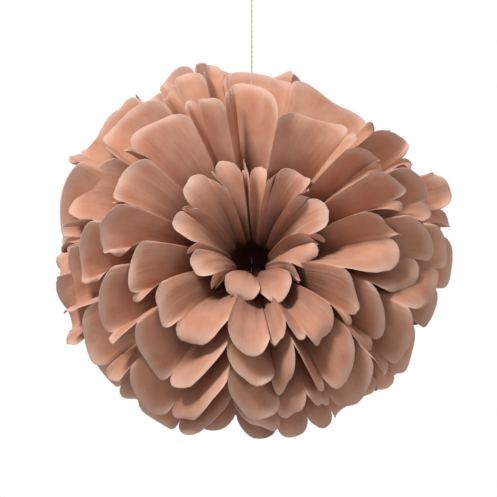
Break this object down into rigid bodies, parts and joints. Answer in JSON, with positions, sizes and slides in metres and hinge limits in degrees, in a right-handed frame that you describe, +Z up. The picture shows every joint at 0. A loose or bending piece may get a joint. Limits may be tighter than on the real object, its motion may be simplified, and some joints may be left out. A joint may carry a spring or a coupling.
{
  "type": "tissue paper pom pom",
  "caption": "Hanging decoration: a ball of pleated tissue paper petals round a wire tie, on a thread with a knotted loop.",
  "frame": {"origin": "inside top of the thread loop that the pom pom hangs from", "axes": "+Z up along the thread, the flower of front petals looks towards -Y and 33 degrees upwards, +X to its right as seen from the front"},
  "size_m": [0.2536, 0.1931, 0.3034],
  "materials": {
    "tissue_paper": "dusty rose brown tissue, matt, thin enough to let light through",
    "tie_wire": "annealed steel wire, dull grey",
    "cotton_thread": "twisted cotton thread, pale taupe"
  },
  "bodies": {
    "root": {"tissue_sheet_01": "tissue_paper", "tissue_sheet_02": "tissue_paper", "tissue_sheet_03": "tissue_paper", "tissue_sheet_04": "tissue_paper", "tissue_sheet_05": "tissue_paper", "tissue_sheet_06": "tissue_paper", "tissue_sheet_07": "tissue_paper", "tissue_sheet_08": "tissue_paper", "tissue_sheet_09": "tissue_paper", "tissue_sheet_10": "tissue_paper", "tie_wire": "tie_wire", "hanging_thread": "cotton_thread", "thread_knot": "cotton_thread"}
  },
  "joints": []
}
